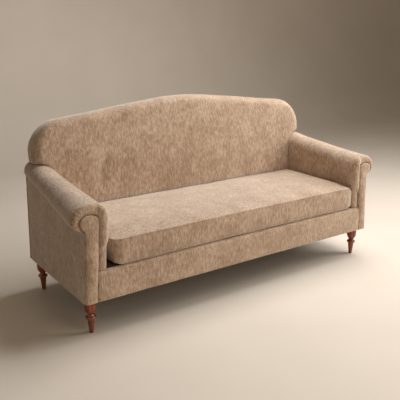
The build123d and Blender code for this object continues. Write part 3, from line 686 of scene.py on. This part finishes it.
def pleat(arm):
    """Small pleats where the cover is drawn round the outer side of the scroll."""
    x, y, z = points_of(arm).T
    angle = np.degrees(np.arctan2(z - roll_z, x - roll_x))
    reach = np.hypot(z - roll_z, x - roll_x) / roll_radius
    window = smoothstep(PLEAT_LOW - PLEAT_STEP, PLEAT_LOW, angle)
    window *= 1 - smoothstep(PLEAT_HIGH, PLEAT_HIGH + PLEAT_STEP, angle)
    fade = 1 - smoothstep(arm_low.y, arm_low.y + PLEAT_LENGTH, y)
    valley = (0.5 + 0.5 * np.cos(2 * np.pi * angle / PLEAT_STEP)) ** PLEAT_SHARP
    outside = smoothstep(PLEAT_FROM, PLEAT_FULL, reach)
    swell(arm, -PLEAT_DEPTH * valley * window * fade * outside)


def tree_of(piece):
    """A search tree of the piece's faces."""
    corners = [vertex.co for vertex in piece.data.vertices]
    return BVHTree.FromPolygons(corners, [polygon.vertices for polygon in piece.data.polygons])


def groove(arm, facing):
    """Draw the arm's cover back where it meets the facing."""
    tree = tree_of(facing)
    points = points_of(arm)
    for index in np.flatnonzero(points[:, 1] < arm_low.y + BAND_DEPTH):
        gap = tree.find_nearest(Vector(points[index]), GROOVE_REACH)[3]
        if gap is not None:
            points[index, 1] += GROOVE_DEPTH * math.exp(-((gap / GROOVE_WIDTH) ** 2))
    place(arm, points)


def make_arm(facing):
    """Right inside arm and roll, with pleats where the cover is drawn round the scroll."""
    arm = soft_copy("right_arm_pad", "right_arm_cover", ARM_VOXEL)
    relax(arm, ARM_ROUNDS)
    fill_roll(arm)
    relax(arm, ARM_FILLED_ROUNDS)
    pleat(arm)
    settle(arm)
    lean(arm)
    groove(arm, facing)
    return arm


def widen_facing(points):
    """Bring the pillar out to the corner of the arm, and deepen the head."""
    x, y, z = points.T.copy()
    outward = np.clip((x - facing_low.x) / (PILLAR_OUTER - facing_low.x), 0, 1)
    across = np.clip((x - facing_low.x) / (facing_high.x - facing_low.x), 0, 1)
    beyond = np.clip((x - PILLAR_OUTER) / (facing_high.x - PILLAR_OUTER), 0, 1)
    in_head = smoothstep(HEAD_NOTCH, HEAD_MIDDLE, z)
    points[:, 0] += PILLAR_WIDEN * outward * (1 - in_head) + HEAD_WIDEN * across * in_head
    points[:, 0] -= PILLAR_INWARD * (1 - outward) * smoothstep(facing_low.z, PILLAR_FULL, z)
    fall = smoothstep(HEAD_MIDDLE, HEAD_NOTCH, z) * smoothstep(HEAD_NOTCH - HEAD_FADE, HEAD_NOTCH, z)
    points[:, 2] -= HEAD_DROP * fall * (1 - beyond**2)
    points[:, 2] += HEAD_RISE * smoothstep(HEAD_MIDDLE, facing_high.z, z)
    points[:, 1] -= RETURN_CLEAR * outward * smoothstep(facing_low.y, facing_high.y, y)


def make_facing():
    """Right scroll facing, swelled between its seams."""
    facing = soft_copy("right_arm_facing", "right_facing_pad", FINE_VOXEL)
    points = points_of(facing)
    widen_facing(points)
    depth = facing_high.y - facing_low.y
    points[:, 1] += FACING_SET_BACK * (facing_high.y - points[:, 1]) / depth
    place(facing, points)
    relax(facing, FACING_ROUNDS)
    held = points_of(facing)[:, 1] > facing_high.y - FACING_HELD * depth
    inflate(facing, held, FACING_SET_BACK)
    relax(facing, FACING_SWELLED_ROUNDS)
    lean(facing)
    return facing


def make_outside_arm():
    """Right outside arm, tucked behind the facing, with soft rear corners."""
    panel = soft_copy("right_outside_arm", "right_outside_arm_cover", SOFT_VOXEL)
    relax(panel, PANEL_ROUNDS)
    _, y, z = points_of(panel).T
    middle = bell(panel_low.y, panel_high.y, y) * bell(panel_low.z, panel_high.z, z)
    swell(panel, PANEL_FILL * middle * np.clip(normals_of(panel)[:, 0], 0, 1))
    points = points_of(panel)
    round_off(points, (0, panel_high.x, 1), (1, panel_high.y, 1), PANEL_EDGE)
    round_off(points, (1, panel_high.y, 1), (2, panel_low.z, -1), PANEL_CORNER)
    before_facing = np.minimum(points[:, 1] - facing_high.y, 0)
    points[:, 1] -= (1 - RETURN_SHARE) * before_facing
    place(panel, points)
    lean(panel)
    return panel


def make_back():
    """Back, crowned between the arms, with soft ears that clear the arms and a rear edge kept square."""
    back = soft_copy("back_pad", "back_cover", WIDE_VOXEL)
    relax(back, BACK_ROUNDS)
    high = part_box("back_pad")[1]
    x, _, z = points_of(back).T
    over_arm = (np.abs(x) > arm_low.x) & (z < ROLL_TOP_REAR + EAR_CLEAR)
    relax(back, EAR_ROUNDS, only=over_arm)
    points = points_of(back)
    low_ear = 1 - smoothstep(ROLL_TOP_REAR, ROLL_TOP_REAR + EAR_CLEAR, points[:, 2])
    in_ear = smoothstep(arm_low.x, roll_x, np.abs(points[:, 0]))
    points[:, 2] += EAR_LIFT * low_ear * in_ear
    points[:, 0] -= np.sign(points[:, 0]) * EAR_DRAW * in_ear
    across = 1 - (points[:, 0] / high.x) ** 2
    up = smoothstep(BACK_CROWN_START, BACK_CROWN_FULL, points[:, 2])
    down = 1 - smoothstep(BACK_CROWN_FULL, high.z, points[:, 2])
    front = np.clip(-normals_of(back)[:, 1], 0, 1)
    points[:, 1] -= BACK_CROWN * across * np.minimum(up, down) * front
    tucked = smoothstep(high.y - BACK_TUCK, high.y - BACK_TUCK_FULL, points[:, 1])
    points[:, 1] += tucked * (high.y - points[:, 1])
    place(back, points)
    settle(back)
    return back


def cut_up(work, box, axes, step):
    """Cut a flat form into a grid, so that it can bend."""
    low, high = box
    for axis in axes:
        way = Vector([float(index == axis) for index in range(3)])
        for cut in np.arange(low[axis] + step, high[axis], step):
            geometry = [*work.verts, *work.edges, *work.faces]
            bmesh.ops.bisect_plane(work, geom=geometry, plane_co=way * cut, plane_no=way)


def make_outside_back():
    """Outside back panel with rolled edges, lapped over the rear edge of the back."""
    work = opened(frame["nodes"]["outside_back"].data)
    bmesh.ops.dissolve_limit(work, angle_limit=FLAT_ANGLE, verts=work.verts, edges=work.edges)
    bmesh.ops.bevel(
        work,
        geom=[edge for edge in work.edges if edge.calc_face_angle(0) > SHARP_ANGLE],
        offset=BACK_EDGE,
        offset_type="OFFSET",
        segments=BACK_EDGE_SEGMENTS,
        profile=0.5,
        affect="EDGES",
    )
    bmesh.ops.triangulate(work, faces=work.faces)
    cut_up(work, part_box("outside_back"), (0, 2), BACK_STEP)
    panel = closed(work, "outside_back_cover")
    points = points_of(panel)
    outward = normals_of(panel) * (1, 0, 1)
    above_arms = smoothstep(LEAN_TOP, EAR_LEVEL, points[:, 2])
    place(panel, points + BACK_LAP * outward * above_arms[:, None])
    lean(panel)
    return panel


def make_border():
    """Padded front border, slightly full between its edges."""
    border = soft_copy("front_border", "front_border_cover", SOFT_VOXEL)
    relax(border, BORDER_ROUNDS)
    low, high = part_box("front_border")
    z = points_of(border)[:, 2]
    swell(border, BORDER_FILL * bell(low.z, high.z, z) * np.clip(-normals_of(border)[:, 1], 0, 1))
    settle(border)
    lean(border)
    return border


def rounded_plan(half_x, half_y, radius, step):
    """Points round a corner-rounded rectangle, the same in each quarter."""
    side_count = round((half_y - radius) / step)
    front_count = round((half_x - radius) / step)
    arc_count = round(radius * math.pi / 2 / step)
    quarter = [(half_x, (half_y - radius) * index / side_count) for index in range(side_count)]
    for index in range(arc_count):
        angle = math.pi / 2 * index / arc_count
        x = half_x - radius + radius * math.cos(angle)
        y = half_y - radius + radius * math.sin(angle)
        quarter.append((x, y))
    for index in range(front_count):
        quarter.append(((half_x - radius) * (1 - index / front_count), half_y))
    half = [*quarter, (0.0, half_y), *((-x, y) for x, y in reversed(quarter[1:]))]
    return np.array(half + [(-x, -y) for x, y in half])


def cushion_rings(half_y):
    """Inset and height of each ring of the cushion, from the middle of its underside over to its top.

    Also gives the places of the lower and the upper seam in that list.
    """
    foot = CUSHION_SET_IN + CUSHION_FOOT
    under_count = round((half_y - foot) / CUSHION_STEP / 2)
    rings = [(inset, 0.0) for inset in np.linspace(half_y, foot, under_count, endpoint=False)]
    for angle in np.linspace(0, np.pi / 2, CUSHION_FOOT_RINGS, endpoint=False):
        rings.append((foot - CUSHION_FOOT * np.sin(angle), CUSHION_FOOT * (1 - np.cos(angle))))
    lower_seam = len(rings)
    boxing_count = round((CUSHION_EDGE - CUSHION_FOOT) / CUSHION_STEP)
    heights = np.linspace(CUSHION_FOOT, CUSHION_EDGE, boxing_count + 1)
    rings += [(CUSHION_SET_IN, height) for height in heights]
    upper_seam = len(rings) - 1
    top_count = round((half_y - CUSHION_SET_IN) / CUSHION_STEP)
    insets = np.linspace(CUSHION_SET_IN, half_y, top_count + 1)
    rings += [(inset, CUSHION_EDGE) for inset in insets[1:]]
    return rings, (lower_seam, upper_seam)


def dome(share):
    """Rise of a cushion's top from its edge, steep at first."""
    return 1 - (1 - np.clip(share, 0, 1)) ** CUSHION_DOME_POWER


def rounded(distance, radius):
    """How far a rounded edge draws back at a distance from where the sharp edge would be."""
    turn = np.clip(1 - distance / radius, 0, 1)
    return radius * (1 - np.sqrt(1 - turn**2))


def shape_cushion(points, half):
    """Crown the top, raise the rear, draw in the sides, round the lower corners and let the ends droop."""
    x, y, z = points.T.copy()
    rise = z / CUSHION_EDGE
    rear = CUSHION_REAR_RISE * smoothstep(-half.y, half.y, y)
    crown = dome((half.x - np.abs(x)) / CUSHION_END_SLOPE) * dome((half.y + y) / CUSHION_SLOPE)
    crown *= dome((half.y - y) / CUSHION_REAR_SLOPE)
    on_top = rise > 1 - WELD
    points[:, 2] += rear * rise + on_top * (CUSHION_CROWN - CUSHION_SWELL - rear) * crown
    end = smoothstep(half.x - CUSHION_DRAW_REACH, half.x, np.abs(x))
    edge = smoothstep(half.y - CUSHION_DRAW_REACH, half.y, np.abs(y))
    points[:, 0] -= np.sign(x) * CUSHION_DRAW * (1 - (y / half.y) ** 2) * end
    points[:, 1] -= np.sign(y) * CUSHION_DRAW * (1 - (x / half.x) ** 2) * edge
    points[:, 2] += rounded(half.x - np.abs(x), CUSHION_LOWER_CORNER) * edge * (1 - rise) ** 2
    points[:, 2] -= CUSHION_END_DROOP * smoothstep(half.x - CUSHION_END, half.x, np.abs(x)) * rise**2


def press_zip_channel(cushion):
    """A channel in the rear of the cushion, deep enough for the zip to show."""
    low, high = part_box("cushion_zip")
    points = points_of(cushion)
    x, y, z = points.T
    beyond = np.maximum.reduce((low.x - x, x - high.x, low.z - z, z - high.z))
    share = 1 - smoothstep(ZIP_CLEAR, ZIP_CLEAR + ZIP_WALL, beyond)
    floor = low.y - ZIP_DEPTH
    points[:, 1] += np.minimum(floor - y, 0) * share
    place(cushion, points)


def press_ends(cushion, arms):
    """Press the cushion's ends in where the arms stand in their way, and keep their corners round."""
    points = points_of(cushion)
    front = points[:, 1].min()
    rise = np.clip((points[:, 2] - cushion_low.z) / CUSHION_EDGE, 0, 1)
    for arm in arms:
        side = math.copysign(1, arm.data.vertices[0].co.x)
        way = Vector((side, 0, 0))
        tree = tree_of(arm)
        arm_front = points_of(arm)[:, 1].min() + CUSHION_END_BEHIND
        for index in np.flatnonzero(side * points[:, 0] > cushion_high.x - CUSHION_END_REACH):
            start = Vector((0, max(points[index, 1], arm_front), points[index, 2]))
            hit = tree.ray_cast(start, way)[0]
            if hit is not None:
                limit = side * hit.x - CUSHION_END_CLEAR
                limit -= rounded(points[index, 1] - front, CUSHION_END_CORNER)
                out = min(side * points[index, 0], limit)
                points[index, 0] = side * out
                points[index, 2] -= rounded(limit - out, CUSHION_END_CORNER) * rise[index] ** 2
    place(cushion, points)


def mark_seams(mesh, ring_of, seams, at_end):
    """Keep in the mesh how near each vertex is to a seam, and how sharp the upper seam is."""
    away = np.minimum(*(np.abs(ring_of - seam) for seam in seams))
    near = SEAM_FADE**away * (away < SEAM_RINGS)
    mesh.attributes.new("seam", "FLOAT", "POINT").data.foreach_set("value", near)
    ends = np.empty(len(mesh.edges) * 2, dtype=int)
    mesh.edges.foreach_get("vertices", ends)
    first, second = ring_of[ends].reshape(-1, 2).T
    sewn = (first == second) & (first == seams[1])
    crease = sewn * (1 + (CUSHION_END_CREASE - 1) * at_end[ends[::2]])
    mesh.attributes.new("crease_edge", "FLOAT", "EDGE").data.foreach_set("value", crease)


def near_seams(cushion):
    """How near each vertex is to a seam, as kept in the mesh."""
    near = np.empty(len(cushion.data.vertices))
    cushion.data.attributes["seam"].data.foreach_get("value", near)
    return near


def sew(cushion):
    """Draw the cover in beside the seams and pucker it."""
    near = near_seams(cushion)
    amount = PUCKER * unevenness(points_of(cushion), PUCKER_SPAN) * near
    amount += SEAM_LIP * smoothstep(SEAM_LIP_FROM, 1.0, near)
    amount -= SEAM_DEPTH * bell(SEAM_DEPTH_FROM, 1.0, near)
    swell(cushion, amount)
    cushion.data.attributes.remove(cushion.data.attributes["seam"])


def cushion_form():
    """The cushion before it is filled: rings of vertices from the middle of its underside over to its top."""
    middle = (cushion_low + cushion_high) / 2
    half = (cushion_high - cushion_low) / 2
    half.x += CUSHION_WIDEN
    plan = rounded_plan(half.x, half.y, CUSHION_CORNER, CUSHION_STEP)
    rings, seams = cushion_rings(half.y)
    layers = []
    for inset, height in rings:
        scale = (1 - inset / half.x, 1 - inset / half.y)
        layers.append(np.column_stack((plan * scale, np.full(len(plan), height))))
    points = np.concatenate(layers)
    shape_cushion(points, half)
    points += (middle.x + CUSHION_SHIFT, middle.y, cushion_low.z)
    count = len(plan)
    faces = []
    for ring in range(len(rings) - 1):
        for index in range(count):
            low = ring * count + index
            low_after = ring * count + (index + 1) % count
            faces.append((low, low_after, low_after + count, low + count))
    mesh = bpy.data.meshes.new("cushion")
    mesh.from_pydata(points.tolist(), [], faces)
    at_end = smoothstep(half.x - CUSHION_END, half.x, np.abs(points[:, 0] - middle.x))
    mark_seams(mesh, np.repeat(np.arange(len(rings)), count), seams, at_end)
    return closed(opened(mesh), "seat_cushion")


def make_cushion(arms):
    """Bench cushion: boxing between two seams, crowned top, drawn-in sides and a channel for the zip."""
    cushion = cushion_form()
    under = points_of(cushion)[:, 2] < cushion_low.z + CUSHION_FOOT / 2
    inflate(cushion, under | (near_seams(cushion) > SEAM_HELD), CUSHION_SWELL)
    subdivide(cushion)
    sew(cushion)
    settle(cushion)
    press_ends(cushion, arms)
    press_zip_channel(cushion)
    return cushion


def make_deck():
    """Decking cloth over the springs, dipping slightly under the cushion."""
    deck = soft_copy("seat_deck", "seat_deck_cover", WIDE_VOXEL)
    low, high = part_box("seat_deck")
    points = points_of(deck)
    x, y, z = points.T
    on_top = smoothstep(low.z, high.z, z)
    points[:, 2] -= DECK_DIP * bell(low.x, high.x, x) * bell(low.y, high.y, y) * on_top
    place(deck, points)
    return deck


def make_dust_cover():
    """Black cloth tacked under the frame, hanging slightly between its edges."""
    low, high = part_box("dust_cover")
    work = opened(frame["nodes"]["dust_cover"].data)
    cut_up(work, (low, high), (0, 1), SHEET_STEP)
    dust = closed(work, "dust_cloth")
    points = points_of(dust)
    points[:, 2] -= DUST_SAG * bell(low.x, high.x, points[:, 0]) * bell(low.y, high.y, points[:, 1])
    place(dust, points)
    return dust


def dress_pair(right, node):
    """Dress a right-hand piece and its left-hand twin."""
    left = mirrored(right, right.name.replace("right_", "left_"))
    dress(right, "chenille", [f"right_{node}"])
    dress(left, "chenille", [f"left_{node}"])
    return right, left


def make_pieces():
    """All the soft pieces, each in place of its CAD solids."""
    facing = make_facing()
    arm = make_arm(facing)
    panel = make_outside_arm()
    arms = dress_pair(arm, "arm_pad")
    dress_pair(facing, "arm_facing")
    dress_pair(panel, "outside_arm")
    for make, node, slot in (
        (make_back, "back_pad", "chenille"),
        (make_outside_back, "outside_back", "chenille"),
        (make_border, "front_border", "chenille"),
        (make_deck, "seat_deck", "deck_cloth"),
    ):
        piece = make()
        dress(piece, slot, [node])
    dust = make_dust_cover()
    dress(dust, "cambric", ["dust_cover"])
    cushion = make_cushion(arms)
    dress(cushion, "chenille", ["cushion_cover", "cushion_foam"], "seat_cushion")


def make_stage():
    """Pale floor that sweeps up into a backdrop."""
    made = Material("floor_paint")
    cloud = made.noise(scale=(1.5, 1.5, 1.5), detail=2.0)
    made.colour(made.ramp(cloud, ((0.3, FLOOR_DARK), (0.7, FLOOR_LIGHT))))
    made.shader.inputs["Roughness"].default_value = 0.7
    profile = [(-FLOOR_HALF, 0.0), (WALL_PLACE, 0.0)]
    for step in range(1, SWEEP_STEPS + 1):
        angle = math.pi / 2 * step / SWEEP_STEPS
        profile.append((WALL_PLACE + SWEEP_RADIUS * math.sin(angle), SWEEP_RADIUS * (1 - math.cos(angle))))
    profile.append((WALL_PLACE + SWEEP_RADIUS, WALL_TOP))
    work = bmesh.new()
    rows = [[work.verts.new((x, y, z)) for y, z in profile] for x in (-FLOOR_HALF, FLOOR_HALF)]
    for index in range(len(profile) - 1):
        work.faces.new((rows[0][index], rows[1][index], rows[1][index + 1], rows[0][index + 1]))
    floor = closed(work, "floor")
    for polygon in floor.data.polygons:
        polygon.use_smooth = True
    floor.data.materials.append(made.material)


def make_lamp(name, location, target, size, power, colour):
    """A soft square lamp."""
    light = bpy.data.lights.new(name, "AREA")
    light.shape = "SQUARE"
    light.size = size
    light.energy = power
    light.color = colour
    lamp = bpy.data.objects.new(name, light)
    scene.collection.objects.link(lamp)
    lamp.location = location
    lamp.rotation_mode = "QUATERNION"
    lamp.rotation_quaternion = (Vector(target) - Vector(location)).to_track_quat("-Z", "Y")


def make_surround():
    """An even warm light from all sides, which itself shows as a pale backdrop."""
    world = bpy.data.worlds.new("surround")
    world.use_nodes = True
    tree = world.node_tree
    light = tree.nodes["Background"]
    light.inputs["Color"].default_value = SURROUND
    light.inputs["Strength"].default_value = SURROUND_STRENGTH
    backdrop = tree.nodes.new("ShaderNodeBackground")
    backdrop.inputs["Color"].default_value = SURROUND_SEEN
    path = tree.nodes.new("ShaderNodeLightPath")
    seen = path.outputs["Is Camera Ray"]
    for kind in ("Is Glossy Ray", "Is Transmission Ray"):
        either = tree.nodes.new("ShaderNodeMath")
        either.operation = "ADD"
        either.use_clamp = True
        tree.links.new(seen, either.inputs[0])
        tree.links.new(path.outputs[kind], either.inputs[1])
        seen = either.outputs[0]
    mix = tree.nodes.new("ShaderNodeMixShader")
    tree.links.new(seen, mix.inputs["Fac"])
    tree.links.new(light.outputs[0], mix.inputs[1])
    tree.links.new(backdrop.outputs[0], mix.inputs[2])
    tree.links.new(mix.outputs[0], tree.nodes["World Output"].inputs["Surface"])
    scene.world = world


def make_light():
    """Soft key from the right, a warm front lamp, a lamp overhead, and the surround."""
    make_lamp(
        "key",
        location=(3.1, -1.5, 2.2),
        target=(0.0, 0.1, 0.6),
        size=1.8,
        power=76.0,
        colour=(1.0, 0.97, 0.93),
    )
    make_lamp(
        "front",
        location=(0.2, -3.8, 1.5),
        target=(0.0, 0.0, 0.4),
        size=2.0,
        power=26.0,
        colour=(1.0, 0.83, 0.65),
    )
    make_lamp(
        "overhead",
        location=(1.2, 0.0, 2.9),
        target=(-0.1, 0.0, 0.5),
        size=2.0,
        power=79.0,
        colour=(1.0, 0.98, 0.95),
    )
    make_surround()


def make_camera():
    """The photograph's viewpoint."""
    back = Vector(
        (
            math.sin(AZIMUTH) * math.cos(ELEVATION),
            -math.cos(AZIMUTH) * math.cos(ELEVATION),
            math.sin(ELEVATION),
        )
    )
    data = bpy.data.cameras.new("camera")
    data.lens = LENS
    data.sensor_width = SENSOR
    camera = bpy.data.objects.new("camera", data)
    scene.collection.objects.link(camera)
    camera.location = TARGET + back * DISTANCE
    camera.rotation_mode = "QUATERNION"
    camera.rotation_quaternion = (-back).to_track_quat("-Z", "Y")
    scene.camera = camera


dress_cad_nodes()
make_pieces()
make_stage()
make_light()
make_camera()
scene.view_settings.view_transform = "Standard"
